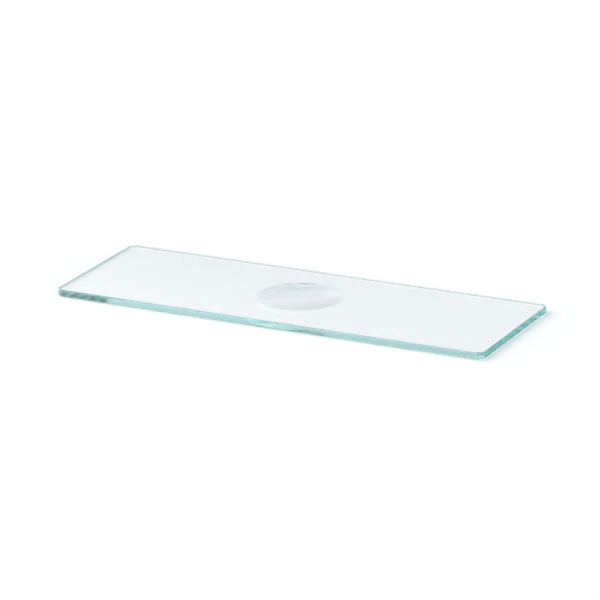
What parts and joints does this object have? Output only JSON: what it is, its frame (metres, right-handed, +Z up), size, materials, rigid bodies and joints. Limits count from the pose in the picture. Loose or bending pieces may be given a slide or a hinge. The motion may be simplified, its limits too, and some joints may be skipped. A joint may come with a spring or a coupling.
{
  "type": "microscope slide",
  "caption": "Thin rectangular glass slide with ground edges, clipped corners and a shallow round polished hollow in the middle of its top face.",
  "frame": {"origin": "middle of the underside, which rests on the stage or bench", "axes": "+X along the slide, +Y across it, +Z up out of the face that has the hollow"},
  "size_m": [0.076, 0.026, 0.0012],
  "materials": {
    "glass": "polished faces and hollow, finely ground edges"
  },
  "bodies": {
    "root": {"glass_slide": "glass"}
  },
  "joints": []
}
